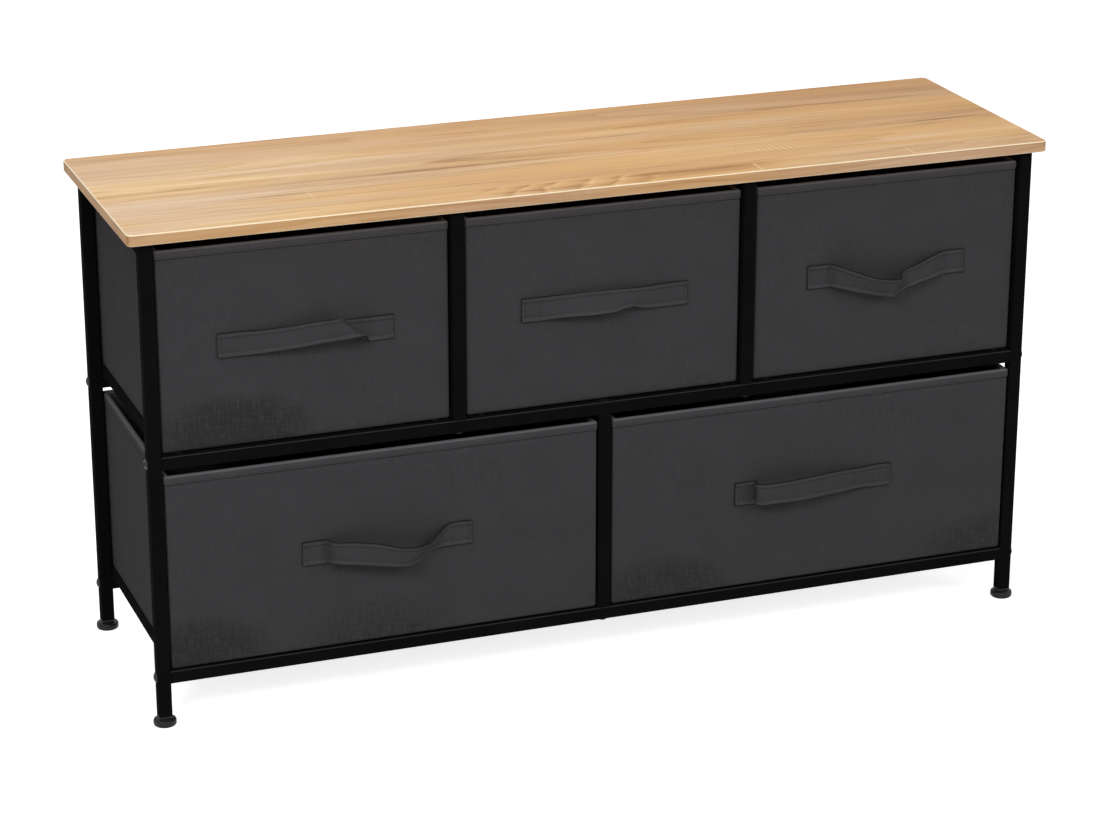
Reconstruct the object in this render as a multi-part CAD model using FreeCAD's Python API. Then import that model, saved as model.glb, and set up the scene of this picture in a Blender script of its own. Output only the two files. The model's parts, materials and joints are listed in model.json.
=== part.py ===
import FreeCAD, Part
import math
import os
from FreeCAD import Vector

# Fabric drawer dresser: a bolted frame of square steel tube carries a wood-effect top board and
# five fabric drawers, three above two, which slide on steel angle runners.
# Millimetres. X runs along the dresser, the front faces -Y, Z is up.
# The origin is on the floor, in the middle of the whole footprint with the handles.

# Top board
board_length = 1000.0
board_depth = 293.0
board_thickness = 12.0
board_corner_radius = 6.0
board_edge_radius = 1.5
dresser_height = 530.0
side_overhang = 12.5
front_overhang = 9.0

# Square tube of the frame, and the height of the bottom rails' undersides
tube_side = 14.0
tube_wall = 1.0
tube_corner_radius = 1.8
bottom_rail_height = 47.0

# Bolts, their nuts in the tube ends and their holes
bolt_radius = 3.0
bolt_reach = 12.0
bolt_hole_clearance = 0.25
bolt_thread_clearance = 0.05
bolt_head_radius = 5.5
bolt_head_height = 3.0
bolt_head_rim = 0.8
flat_head_radius = 5.0
flat_head_depth = 2.5
nut_end_margin = 2.0
nut_clearance = 0.1

# Plates on the upper posts' tops, and the screws that go up through them and through the side
# rails into the board
plate_thickness = 2.5
plate_length = 40.0
plate_hole_inset = 8.0
side_screw_inset = 32.0
board_screw_radius = 1.75
board_screw_bite = 8.0
board_screw_head_radius = 4.0
board_screw_head_height = 2.2
screw_clearance = 0.1

# Runners of steel angle
runner_thickness = 1.2
runner_foot_width = 24.0
runner_wall_height = 14.0
runner_stop_height = 9.0
runner_front_inset = 4.0
runner_post_gap = 0.1
runner_screw_inset = 18.0
runner_screw_radius = 1.75
runner_screw_length = 9.0
runner_screw_head_radius = 3.2

# Levelling feet and the inserts in the leg ends
foot_radius = 12.0
foot_height = 9.0
foot_rim_radius = 2.5
foot_crown = 1.6
foot_neck_radius = 5.6
stud_radius = 3.0
stud_length = 20.0
stud_clearance = 0.05
insert_flange = 1.5
insert_end_margin = 3.0
foot_rest_gap = 0.3

# Drawers: fabric bins with boards in their walls
drawer_side_clearance = 0.7
drawer_rest_gap = 0.3
drawer_back_inset = 2.0
upper_headroom = 12.2
lower_headroom = 7.2
upper_setback = 5.4
lower_setback = 1.2
fabric_thickness = 0.8
floor_thickness = 1.0
wall_board_thickness = 2.0
pocket_clearance = 0.2
bin_corner_radius = 2.5
pocket_corner_margin = 7.0
pocket_foot_margin = 6.0
pocket_top_margin = 3.0
hem_thickness = 0.6
hem_height = 9.0
base_board_thickness = 3.0
base_board_clearance = 1.0

# Strap handles: sewn flat at both ends, bowed out between
strap_length = 183.0
strap_width = 24.0
strap_thickness = 2.0
strap_sewn_length = 26.0
strap_height = 108.0
tight_bow = 9.0
slack_bow = 15.0
loose_bow = 20.0
strap_bend_share = 0.35

# One overrun serves all cuts
overrun = 1.0

up = Vector(0, 0, 1)
down = Vector(0, 0, -1)

# Places worked out from the driving sizes
board_underside = dresser_height - board_thickness
leg_x = board_length / 2 - side_overhang - tube_side / 2
leg_y = board_depth / 2 - front_overhang - tube_side / 2
inner_x = leg_x - tube_side / 2
leg_bottom = foot_height + foot_rest_gap + insert_flange
post_top = board_underside - plate_thickness
bottom_rail_top = bottom_rail_height + tube_side

# Both rows have drawers of one height, which fill what the frame leaves them
drawer_lift = runner_thickness + drawer_rest_gap
room_for_drawers = board_underside - upper_headroom - bottom_rail_top - lower_headroom - tube_side
drawer_height = room_for_drawers / 2 - drawer_lift
middle_rail_height = bottom_rail_top + drawer_lift + drawer_height + lower_headroom
middle_rail_top = middle_rail_height + tube_side
frame_depth = 2 * leg_y + tube_side
rail_heights = {"bottom": bottom_rail_height, "middle": middle_rail_height}
bolt_length = tube_side + bolt_reach
nut_length = bolt_reach + nut_end_margin
plug_half = tube_side / 2 - tube_wall - nut_clearance
plug_corner_radius = max(tube_corner_radius - tube_wall, 0)
wall_thickness = 2 * fabric_thickness + wall_board_thickness + 2 * pocket_clearance

# The two rows of drawers, from left to right: bow of each strap and where along it the bow peaks
rows = {
    "upper": {
        "columns": ["left", "middle", "right"],
        "rail_top": middle_rail_top,
        "setback": upper_setback,
        "bows": [tight_bow, tight_bow, slack_bow],
        "peak_shares": [0.62, 0.55, 0.45],
    },
    "lower": {
        "columns": ["left", "right"],
        "rail_top": bottom_rail_top,
        "setback": lower_setback,
        "bows": [loose_bow, slack_bow],
        "peak_shares": [0.55, 0.42],
    },
}

# The handles reach past the board's front edge, so the board stands a little behind the origin
handle_reach = max(max(row["bows"]) + strap_thickness - row["setback"] for row in rows.values())
board_y = max(handle_reach - front_overhang, 0) / 2
frame_front = board_y - frame_depth / 2
side_signs = {"left": -1, "right": 1}
face_y = {"front": board_y - leg_y, "back": board_y + leg_y}
face_signs = {"front": 1, "back": -1}


def block(low, high):
    size = high - low
    return Part.makeBox(size.x, size.y, size.z, low)


def rod(radius, start, end):
    along = end - start
    return Part.makeCylinder(radius, along.Length, start, along)


def joined(shapes):
    return shapes[0].multiFuse(shapes[1:]) if len(shapes) > 1 else shapes[0]


def is_upright(edge):
    return edge.BoundBox.ZLength > max(edge.BoundBox.XLength, edge.BoundBox.YLength)


def rounded_block(low, high, radius):
    solid = block(low, high)
    return solid.makeFillet(radius, list(filter(is_upright, solid.Edges))) if radius > 0 else solid


def turned(points, arcs):
    # A solid of revolution about Z. Each point is (radius, height), and arcs give the middle point of
    # the round stretch that starts at that index.
    corners = [Vector(radius, 0, height) for radius, height in points]
    edges = []
    for index, start in enumerate(corners):
        end = corners[(index + 1) % len(corners)]
        if index in arcs:
            middle = Vector(arcs[index][0], 0, arcs[index][1])
            edges.append(Part.Arc(start, middle, end).toShape())
        else:
            edges.append(Part.makeLine(start, end))
    return Part.Face(Part.Wire(edges)).revolve(Vector(0, 0, 0), up, 360)


def dome_middle(radius, rise):
    # Middle point of a round dome's outline, as (radius, fall below the dome's top)
    sphere = (radius ** 2 + rise ** 2) / (2 * rise)
    half_angle = math.asin(radius / sphere) / 2
    return sphere * math.sin(half_angle), sphere * (1 - math.cos(half_angle))


def placed(shape, position, direction=up):
    copy = shape.copy()
    copy.Placement = FreeCAD.Placement(position, FreeCAD.Rotation(up, direction))
    return copy


def square_tube(length):
    # Along +Z, with its axis through the origin
    half = tube_side / 2
    inner_half = half - tube_wall
    outer = rounded_block(Vector(-half, -half, 0), Vector(half, half, length), tube_corner_radius)
    low = Vector(-inner_half, -inner_half, -overrun)
    high = Vector(inner_half, inner_half, length + overrun)
    return outer.cut(rounded_block(low, high, plug_corner_radius))


def export(name, shape):
    shape.exportStep(f"parts/{name}.step")


def group(shapes):
    return Part.makeCompound(shapes)


def bay_width(row):
    count = len(row["columns"])
    return (2 * inner_x - (count - 1) * tube_side) / count


def bay_middle(row, index):
    return -inner_x + bay_width(row) / 2 + index * (bay_width(row) + tube_side)


def post_places(row):
    count = len(row["columns"])
    return [bay_middle(row, index) + (bay_width(row) + tube_side) / 2 for index in range(count - 1)]


# Fasteners
def domed_bolt():
    # Its head lies below the origin plane, and its shank runs along +Z
    points = [
        (0, -bolt_head_height),
        (bolt_head_radius, -bolt_head_rim),
        (bolt_head_radius, 0),
        (bolt_radius, 0),
        (bolt_radius, bolt_length),
        (0, bolt_length),
    ]
    radius, fall = dome_middle(bolt_head_radius, bolt_head_height - bolt_head_rim)
    return turned(points, {0: (radius, fall - bolt_head_height)})


def flat_bolt():
    # Its head is level with the origin plane, and its shank runs along +Z
    points = [
        (0, 0),
        (flat_head_radius, 0),
        (bolt_radius, flat_head_depth),
        (bolt_radius, bolt_length),
        (0, bolt_length),
    ]
    return turned(points, {})


def board_screw(grip):
    # The grip is what it goes through before it bites into the board
    length = grip + board_screw_bite
    points = [
        (0, -board_screw_head_height),
        (board_screw_head_radius, 0),
        (board_screw_radius, 0),
        (board_screw_radius, length),
        (0, length),
    ]
    radius, fall = dome_middle(board_screw_head_radius, board_screw_head_height)
    return turned(points, {0: (radius, fall - board_screw_head_height)})


def runner_screw():
    points = [
        (0, 0),
        (runner_screw_head_radius, 0),
        (runner_screw_radius, -runner_thickness),
        (runner_screw_radius, -runner_screw_length),
        (0, -runner_screw_length),
    ]
    return turned(points, {})


def runner_screw_seat():
    bore = runner_screw_radius + screw_clearance
    seat = runner_screw_head_radius + screw_clearance
    depth = runner_screw_length + overrun
    points = [(0, 0), (seat, 0), (bore, -runner_thickness), (bore, -depth), (0, -depth)]
    return turned(points, {})


def end_nut():
    # Plug that fills a tube end, with its mouth in the origin plane and its bore along +Z
    low = Vector(-plug_half, -plug_half, 0)
    plug = rounded_block(low, Vector(plug_half, plug_half, nut_length), plug_corner_radius)
    bore = bolt_radius + bolt_thread_clearance
    return plug.cut(rod(bore, down * overrun, up * (nut_length + overrun)))


# Where every bolt and nut goes: the bolt's seat, and the way its shank points
bolt_places = []
flat_bolt_places = []
nut_places = []
for face, y in face_y.items():
    for height in rail_heights.values():
        middle = height + tube_side / 2
        for sign in side_signs.values():
            inward = Vector(-sign, 0, 0)
            bolt_places.append((Vector(sign * (inner_x + tube_side), y, middle), inward))
            nut_places.append((Vector(sign * inner_x, y, middle), inward))
    for x in post_places(rows["upper"]):
        bolt_places.append((Vector(x, y, middle_rail_height), up))
        nut_places.append((Vector(x, y, middle_rail_top), up))
    for x in post_places(rows["lower"]):
        bolt_places.append((Vector(x, y, bottom_rail_height), up))
        nut_places.append((Vector(x, y, bottom_rail_top), up))
        flat_bolt_places.append((Vector(x, y, middle_rail_top), down))
        nut_places.append((Vector(x, y, middle_rail_height), down))

bolt_hole_radius = bolt_radius + bolt_hole_clearance
bolt_holes = [
    placed(rod(bolt_hole_radius, down * overrun, up * bolt_length), seat, way)
    for seat, way in bolt_places
]
flat_seat = turned(
    [
        (0, 0),
        (flat_head_radius + bolt_hole_clearance, 0),
        (bolt_hole_radius, flat_head_depth),
        (bolt_hole_radius, bolt_length),
        (0, bolt_length),
    ],
    {},
)
flat_bolt_holes = [placed(flat_seat, seat, way) for seat, way in flat_bolt_places]


# Runner of one side of a drawer: a foot that lies on the rails, a wall beside the drawer and a
# turned-up stop behind it. Side is -1 for the left runner and 1 for the right one.
def runner_edge(row, index, side):
    return bay_middle(row, index) + side * (bay_width(row) / 2 - runner_post_gap)


def drawer_front(row):
    return frame_front + row["setback"]


def drawer_depth(row):
    return frame_depth - row["setback"] - drawer_back_inset


def runner_back(row):
    return drawer_front(row) + drawer_depth(row) + drawer_rest_gap + runner_thickness


def runner_screw_places(row, index, side):
    x = runner_edge(row, index, side) - side * runner_screw_inset
    return [Vector(x, y, row["rail_top"] + runner_thickness) for y in face_y.values()]


def runner(row, index, side):
    edge = runner_edge(row, index, side)
    inside = edge - side * runner_foot_width
    wall = edge - side * runner_thickness
    front = frame_front + runner_front_inset
    back = runner_back(row)
    bottom = row["rail_top"]
    top = bottom + runner_thickness

    def span(one, other, y_low, z_high):
        low = Vector(min(one, other), y_low, bottom)
        return block(low, Vector(max(one, other), back, z_high))

    foot = span(edge, inside, front, top)
    wall_plate = span(edge, wall, front, bottom + runner_wall_height)
    stop = span(edge, inside, back - runner_thickness, top + runner_stop_height)
    solid = joined([foot, wall_plate, stop]).removeSplitter()
    for place in runner_screw_places(row, index, side):
        solid = solid.cut(placed(runner_screw_seat(), place))
    return solid


runner_screw_list = []
runner_screw_holes = []
for row_name, row in rows.items():
    for index, column in enumerate(row["columns"]):
        pair = []
        for side in side_signs.values():
            pair.append(runner(row, index, side))
            for place in runner_screw_places(row, index, side):
                runner_screw_list.append(placed(runner_screw(), place))
                runner_screw_holes.append(placed(runner_screw_seat(), place))
        row.setdefault("runners", []).append(group(pair))


# Where every screw into the board has its head, and what it goes through
plate_screw_reach = plate_length - tube_side / 2 - plate_hole_inset
side_screw_reach = tube_side / 2 + side_screw_inset
screw_seats = []
for face, y in face_y.items():
    for x in post_places(rows["upper"]):
        screw_seats.append((Vector(x, y + face_signs[face] * plate_screw_reach, post_top), plate_thickness))
    for sign in side_signs.values():
        place = Vector(sign * leg_x, y + face_signs[face] * side_screw_reach, board_underside - tube_side)
        screw_seats.append((place, tube_side))


def screw_hole(grip):
    depth = grip + board_screw_bite + screw_clearance
    return rod(board_screw_radius + screw_clearance, down * overrun, up * depth)


screw_holes = [placed(screw_hole(grip), place) for place, grip in screw_seats]


# Frame
def leg(side, face):
    start = Vector(side_signs[side] * leg_x, face_y[face], leg_bottom)
    return placed(square_tube(board_underside - leg_bottom), start).cut(bolt_holes)


def rail(face, level):
    start = Vector(-inner_x, face_y[face], rail_heights[level] + tube_side / 2)
    tube = placed(square_tube(2 * inner_x), start, Vector(1, 0, 0))
    return tube.cut(bolt_holes + flat_bolt_holes + runner_screw_holes)


def post(x, face, bottom, top):
    return placed(square_tube(top - bottom), Vector(x, face_y[face], bottom))


def side_rail(side):
    # Runs under the board from the front leg to the back leg
    front_end = face_y["front"] + tube_side / 2
    start = Vector(side_signs[side] * leg_x, front_end, board_underside - tube_side / 2)
    tube = placed(square_tube(2 * leg_y - tube_side), start, Vector(0, 1, 0))
    return tube.cut(screw_holes)


def top_plate(x, face):
    # Caps an upper post and runs on towards the middle of the dresser, where its screw is
    half = tube_side / 2
    sign = face_signs[face]
    outer = face_y[face] - sign * half
    inner = outer + sign * plate_length
    low = Vector(x - half, min(outer, inner), post_top)
    high = Vector(x + half, max(outer, inner), board_underside)
    return rounded_block(low, high, tube_corner_radius).cut(screw_holes)


def top_board():
    half_length = board_length / 2
    half_depth = board_depth / 2
    low = Vector(-half_length, board_y - half_depth, board_underside)
    high = Vector(half_length, board_y + half_depth, dresser_height)
    solid = rounded_block(low, high, board_corner_radius)
    rims = [edge for edge in solid.Edges if not is_upright(edge)]
    return solid.makeFillet(board_edge_radius, rims).cut(screw_holes)


# Levelling foot: pad, neck and stud in one, with the pad's underside on the floor
def levelling_foot():
    rim_low = foot_rim_radius
    rim_high = foot_height - foot_crown - foot_rim_radius
    slant = foot_rim_radius * (1 - math.sqrt(0.5))
    points = [
        (0, 0),
        (foot_radius - foot_rim_radius, 0),
        (foot_radius, rim_low),
        (foot_radius, rim_high),
        (foot_radius - foot_rim_radius, rim_high + foot_rim_radius),
        (foot_neck_radius, foot_height),
        (stud_radius, foot_height),
        (stud_radius, foot_height + stud_length),
        (0, foot_height + stud_length),
    ]
    arcs = {
        1: (foot_radius - slant, slant),
        3: (foot_radius - slant, rim_high + foot_rim_radius - slant),
    }
    return turned(points, arcs)


def leg_insert():
    # Plug in the leg end, with a flange between the leg and the foot
    half = tube_side / 2
    length = stud_length + insert_end_margin
    flange = rounded_block(Vector(-half, -half, -insert_flange), Vector(half, half, 0), tube_corner_radius)
    low = Vector(-plug_half, -plug_half, 0)
    plug = rounded_block(low, Vector(plug_half, plug_half, length), plug_corner_radius)
    bore = rod(stud_radius + stud_clearance, down * (insert_flange + overrun), up * (length + overrun))
    return joined([flange, plug]).cut(bore)


# Drawer pieces, built about the middle of the bay with the front face at y = 0
def drawer_width(row):
    return bay_width(row) - 2 * (runner_post_gap + runner_thickness + drawer_side_clearance)


def bin_block(row, inset, bottom, top):
    # The bin's plan drawn in by an inset, which is negative outside the bin
    half = drawer_width(row) / 2 - inset
    back = drawer_depth(row) - inset
    radius = max(bin_corner_radius - inset, 0)
    return rounded_block(Vector(-half, inset, bottom), Vector(half, back, top), radius)


def wall_slots(row, gap):
    # The four pockets in the walls, or the boards that lie in them with a gap all round
    width = drawer_width(row)
    depth = drawer_depth(row)
    layer = fabric_thickness + gap
    inside = wall_thickness - fabric_thickness - gap
    bottom = pocket_foot_margin + gap
    top = drawer_height - hem_thickness
    if gap == 0:
        top = top + overrun
    else:
        top = top - pocket_top_margin
    half = width / 2
    corner = pocket_corner_margin + gap
    front_slot = block(Vector(-half + corner, layer, bottom), Vector(half - corner, inside, top))
    side_slot = block(Vector(-half + layer, corner, bottom), Vector(-half + inside, depth - corner, top))
    back_slot = front_slot.translated(Vector(0, depth - wall_thickness, 0))
    other_side_slot = side_slot.translated(Vector(width - wall_thickness, 0, 0))
    return [front_slot, back_slot, side_slot, other_side_slot]


def fabric_bin(row):
    top = drawer_height - hem_thickness
    outer = bin_block(row, 0, 0, top)
    hollow = bin_block(row, wall_thickness, floor_thickness, top + overrun)
    return outer.cut([hollow] + wall_slots(row, 0))


def hem(row):
    # Binding folded over the top of the walls
    bottom = drawer_height - hem_height
    below = bottom - overrun
    fold = drawer_height - hem_thickness
    outer = bin_block(row, -hem_thickness, bottom, drawer_height)
    mouth = bin_block(row, wall_thickness + hem_thickness, below, drawer_height + overrun)
    walls = bin_block(row, 0, below, fold).cut(bin_block(row, wall_thickness, below, fold))
    return outer.cut([mouth, walls])


def base_board(row):
    inset = wall_thickness + base_board_clearance
    return bin_block(row, inset, floor_thickness, floor_thickness + base_board_thickness)


def half_strap(span, bow, offset):
    # Points of one half of a strap from its sewn end to its peak, one side of the strap: two arcs that
    # leave and end along X. The offset is zero on the side that lies on the drawer.
    turn = 2 * math.atan2(bow, span)
    reach = span / math.sin(turn)
    hollow = strap_bend_share * reach
    crown = reach - hollow

    def on_hollow(angle):
        radius = hollow - offset
        return (strap_sewn_length + radius * math.sin(angle), -hollow + radius * math.cos(angle))

    def on_crown(angle):
        radius = crown + offset
        x = strap_sewn_length + reach * math.sin(turn) - radius * math.sin(angle)
        return (x, -hollow + reach * math.cos(turn) - radius * math.cos(angle))

    return [on_hollow(0), on_hollow(turn / 2), on_hollow(turn), on_crown(turn / 2), on_crown(0)]


def strap_line(bow, peak_share, offset):
    # Edges of one side of the whole strap, from left to right
    span = strap_length - 2 * strap_sewn_length
    left = [Vector(x, y, 0) for x, y in half_strap(span * peak_share, bow, offset)]
    mirrored = half_strap(span * (1 - peak_share), bow, offset)
    right = [Vector(strap_length - x, y, 0) for x, y in reversed(mirrored)]
    start = Vector(0, -offset, 0)
    end = Vector(strap_length, -offset, 0)
    return [
        Part.makeLine(start, left[0]),
        Part.Arc(left[0], left[1], left[2]).toShape(),
        Part.Arc(left[2], left[3], left[4]).toShape(),
        Part.Arc(right[0], right[1], right[2]).toShape(),
        Part.Arc(right[2], right[3], right[4]).toShape(),
        Part.makeLine(right[4], end),
    ]


def strap_handle(bow, peak_share):
    inner = strap_line(bow, peak_share, 0)
    outer = strap_line(bow, peak_share, strap_thickness)
    ends = [
        Part.makeLine(Vector(0, 0, 0), Vector(0, -strap_thickness, 0)),
        Part.makeLine(Vector(strap_length, 0, 0), Vector(strap_length, -strap_thickness, 0)),
    ]
    wire = Part.Wire(Part.__sortEdges__(inner + outer + ends))
    strap = Part.Face(wire).extrude(Vector(0, 0, strap_width))
    return strap.translated(Vector(-strap_length / 2, 0, strap_height - strap_width / 2))


os.makedirs("parts", exist_ok=True)

export("top_board", top_board())
for face in face_y:
    for side in side_signs:
        corner = Vector(side_signs[side] * leg_x, face_y[face], 0)
        export(f"leg_{face}_{side}", leg(side, face))
        export(f"foot_{face}_{side}", placed(levelling_foot(), corner))
    for level in rail_heights:
        export(f"rail_{face}_{level}", rail(face, level))
    for side, x in zip(side_signs, post_places(rows["upper"])):
        export(f"post_{face}_upper_{side}", post(x, face, middle_rail_top, post_top))
    for x in post_places(rows["lower"]):
        export(f"post_{face}_lower", post(x, face, bottom_rail_top, middle_rail_height))

for side in side_signs:
    export(f"rail_side_{side}", side_rail(side))
leg_ends = [Vector(sign * leg_x, y, leg_bottom) for y in face_y.values() for sign in side_signs.values()]
export("leg_inserts", group([placed(leg_insert(), end) for end in leg_ends]))
export("end_nuts", group([placed(end_nut(), seat, way) for seat, way in nut_places]))
export("frame_bolts", group([placed(domed_bolt(), seat, way) for seat, way in bolt_places]))
export("flat_bolts", group([placed(flat_bolt(), seat, way) for seat, way in flat_bolt_places]))
plates = [top_plate(x, face) for face in face_y for x in post_places(rows["upper"])]
export("top_plates", group(plates))
export("board_screws", group([placed(board_screw(grip), place) for place, grip in screw_seats]))
export("runner_screws", group(runner_screw_list))

for row_name, row in rows.items():
    for index, column in enumerate(row["columns"]):
        place = Vector(bay_middle(row, index), drawer_front(row), row["rail_top"] + drawer_lift)
        pieces = {
            "bin": fabric_bin(row),
            "hem": hem(row),
            "wall_boards": group(wall_slots(row, pocket_clearance)),
            "base_board": base_board(row),
            "handle": strap_handle(row["bows"][index], row["peak_shares"][index]),
        }
        export(f"runners_{row_name}_{column}", row["runners"][index])
        for piece, shape in pieces.items():
            export(f"drawer_{row_name}_{column}_{piece}", shape.translated(place))
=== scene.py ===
"""Looks of a fabric drawer dresser: wood-effect top, black tube frame and charcoal fabric drawers."""
import json
import math

import bmesh
import bpy
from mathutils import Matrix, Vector, noise

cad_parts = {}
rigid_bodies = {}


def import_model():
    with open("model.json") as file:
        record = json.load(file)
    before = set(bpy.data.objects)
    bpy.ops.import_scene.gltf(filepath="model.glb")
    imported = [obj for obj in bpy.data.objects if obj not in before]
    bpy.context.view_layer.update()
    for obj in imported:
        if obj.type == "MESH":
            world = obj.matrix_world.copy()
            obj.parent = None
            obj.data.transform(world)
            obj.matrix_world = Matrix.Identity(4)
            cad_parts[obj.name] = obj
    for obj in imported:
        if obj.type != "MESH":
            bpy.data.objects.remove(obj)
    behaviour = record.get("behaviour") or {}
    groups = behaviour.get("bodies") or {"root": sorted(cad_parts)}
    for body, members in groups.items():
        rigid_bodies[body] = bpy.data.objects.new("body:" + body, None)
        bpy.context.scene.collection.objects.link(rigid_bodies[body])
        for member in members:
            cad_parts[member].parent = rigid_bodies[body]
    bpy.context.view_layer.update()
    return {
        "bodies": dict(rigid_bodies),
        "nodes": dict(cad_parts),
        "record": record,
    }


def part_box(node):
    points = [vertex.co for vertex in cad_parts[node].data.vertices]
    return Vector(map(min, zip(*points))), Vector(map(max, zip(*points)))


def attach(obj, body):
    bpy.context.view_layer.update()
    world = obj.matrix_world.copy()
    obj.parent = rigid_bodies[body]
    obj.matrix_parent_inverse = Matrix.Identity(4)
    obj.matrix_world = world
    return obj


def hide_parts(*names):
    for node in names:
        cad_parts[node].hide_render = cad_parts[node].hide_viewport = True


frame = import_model()
drawers = sorted(body for body in frame["bodies"] if body.startswith("drawer_"))
mm = 0.001
tiny = 1e-6

# Fabric bins
corner_radius = 2.5 * mm
corner_steps = 6
corner_step = 3 * mm
wall_thickness = 4 * mm
floor_thickness = 1 * mm
bottom_radius = 3.5 * mm
bottom_steps = 4
grid_step = 6 * mm
back_fullness = 2 * mm
front_swell = 1.3 * mm
side_swell = 0.8 * mm
inside_swell = 0.5 * mm
dent_depth = 0.45 * mm
dent_pitch = 75 * mm
pucker_depth = 0.16 * mm
pucker_pitch = 9 * mm
pucker_reach = 12 * mm
rim_drop = 1.5 * mm
rim_round = 0.6 * mm
drawer_seed = 1.7
side_seed = 3.1

# Bend from a bin's inner wall to its floor: inset from the wall and rise above the floor
floor_bend = [(0.4 * mm, 0.8 * mm), (1.5 * mm, 0.0)]

# Hem bindings, with the groove that their seam pulls into the cloth
hem_height = 9 * mm
hem_rise = 1.2 * mm
hem_proud = 0.85 * mm
hem_stitch_height = 1.9 * mm
groove_width = 1.5 * mm
groove_depth = 1.1 * mm

# Section of a hem's outer half: out from the cloth, and up from its lower edge
hem_foot = [
    (-0.3 * mm, 0.4 * mm),
    (0.3 * mm, 0.0),
    (hem_proud - 0.1 * mm, 0.5 * mm),
    (hem_proud, 1.3 * mm),
    (hem_proud - 0.25 * mm, hem_stitch_height),
    (hem_proud, 2.6 * mm),
    (hem_proud + 0.15 * mm, 4.6 * mm),
]

# The same section's upper part: out from the cloth, and down from its top
hem_fold = [
    (hem_proud, 2.2 * mm),
    (hem_proud - 0.35 * mm, 0.9 * mm),
    (-0.25 * wall_thickness, 0.1 * mm),
    (-0.5 * wall_thickness, 0.0),
]

# Strap handles
strap_length = 183 * mm
strap_width = 26 * mm
strap_edge_thickness = 1.7 * mm
strap_middle_thickness = 0.7 * mm
strap_back_thickness = 1.1 * mm
strap_step = 2 * mm
strap_least_steps = 3
sewn_length = 24 * mm
sewn_top = 12.7 * mm
sewn_bottom = -13.3 * mm
crease_depth = 0.8 * mm
crease_length = 34 * mm
creases_across = 2.6
slack_reach = 4 * mm
box_stitch_inset = 3.2 * mm
box_stitch_lift = 0.5 * mm

# Half of a strap's section, edge to middle: share of the width off the middle, share of the thickness
strap_seam_share = 0.30
strap_edge_shares = [(0.5, 0.0), (0.488, 0.75), (0.455, 1.0), (0.37, 1.0), (0.33, 0.9)]
strap_flat_shares = [(strap_seam_share, 0.55), (0.26, 1.0), (0.13, 1.0)]
strap_back_shares = [0.43, 0.2]

# Thread, and the bow of one stitch: share along it, then thickness and lift as shares of its radius
stitch_pitch = 3.6 * mm
stitch_length = 2.9 * mm
stitch_fill_share = 0.85
stitch_radius = 0.27 * mm
stitch_sides = 6
stitch_sink = 0.2 * mm
stitch_bow_shares = [
    (0.0, 0.4, -0.7), (0.16, 0.85, 0.05), (0.5, 1.0, 0.4), (0.84, 0.85, 0.05), (1.0, 0.4, -0.7),
]

# Cloths: colours of their dark and light threads, and how strongly the hatch shows
cloths = {
    "drawer_cloth": ((0.033, 0.0314, 0.0335), (0.072, 0.0686, 0.073), 0.55),
    "hem_binding": ((0.04, 0.0381, 0.0405), (0.082, 0.0782, 0.083), 0.4),
    "strap_tape": ((0.031, 0.0295, 0.0314), (0.065, 0.0619, 0.0658), 0.35),
}
thread_pitch = 0.95 * mm

# Spots on the fronts where the hatch shows most: x, z and strength
hatch_reach = (100 * mm, 44 * mm)
hatch_places = [
    (-398 * mm, 312 * mm, 1.5),
    (-455 * mm, 78 * mm, 1.4),
    (-255 * mm, 70 * mm, 0.6),
    (62 * mm, 73 * mm, 1.0),
    (458 * mm, 69 * mm, 0.8),
]

# Painted light and shade across a strap from its lower edge up: share of the width and brightness
# Its rims and ends are painted dark as shadow, its folded edge bands painted pale as highlight
strap_painted_tones = [
    (0.0, 0.3), (0.02, 0.5), (0.05, 1.3), (0.13, 1.28), (0.22, 1.12),
    (0.76, 1.1), (0.88, 1.18), (0.95, 1.2), (0.98, 0.5), (1.0, 0.3),
]

# Figure of the wood, in the dresser's frame
stave_width = 29.3 * mm
grain_wander = 20 * mm
growth_lines = 11.0
arch_middle = -35 * mm
arch_length = 220 * mm
arch_width = 36 * mm
arch_pitch = 38 * mm
arch_lean = 0.45
arch_sweep = 16.0
heart_middle = 110 * mm
heart_length = 190 * mm
# A patch of wavy fibres whose sheen is painted as pale and dark bars
ripple_place = (204 * mm, -66 * mm)
ripple_length = 125 * mm
ripple_width = 40 * mm
ripple_pitch = 7 * mm
ripple_slant = 0.15

# End joints of the staves: x, number of the stave from the front, and strength
joint_width = 1.6 * mm
joint_places = [
    (-294 * mm, 2, 0.4),
    (170 * mm, 0, 0.95),
    (345 * mm, 0, 0.6),
    (-362 * mm, 7, 0.25),
    (-240 * mm, 6, 0.3),
]

# Streaks along the wood: x and y of the middle, length, width and depth, below 0 for a pale one
streak_wander = 22 * mm
streaks = [
    (390 * mm, -21 * mm, 260 * mm, 9 * mm, 1.0),
    (350 * mm, 82 * mm, 260 * mm, 9 * mm, 1.0),
    (-60 * mm, -20 * mm, 260 * mm, 9 * mm, 1.0),
    (-260 * mm, -32 * mm, 600 * mm, 44 * mm, 0.5),
    (430 * mm, -32 * mm, 320 * mm, 40 * mm, 0.4),
    (300 * mm, -98 * mm, 520 * mm, 50 * mm, -0.4),
]

# Colours of the wood from its dark lines to its pale ones
wood_colours = [
    (0.0, (0.36, 0.165, 0.05)),
    (0.2, (0.52, 0.275, 0.095)),
    (0.42, (0.66, 0.38, 0.155)),
    (0.62, (0.735, 0.455, 0.205)),
    (0.9, (0.83, 0.58, 0.33)),
]
joint_colour = (0.88, 0.68, 0.43)
# Colours of the painted highlights on the board's upper and lower rounded edges
upper_edge_highlight_colour = (1.0, 0.86, 0.62)
lower_edge_highlight_colour = (0.95, 0.78, 0.56)

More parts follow.
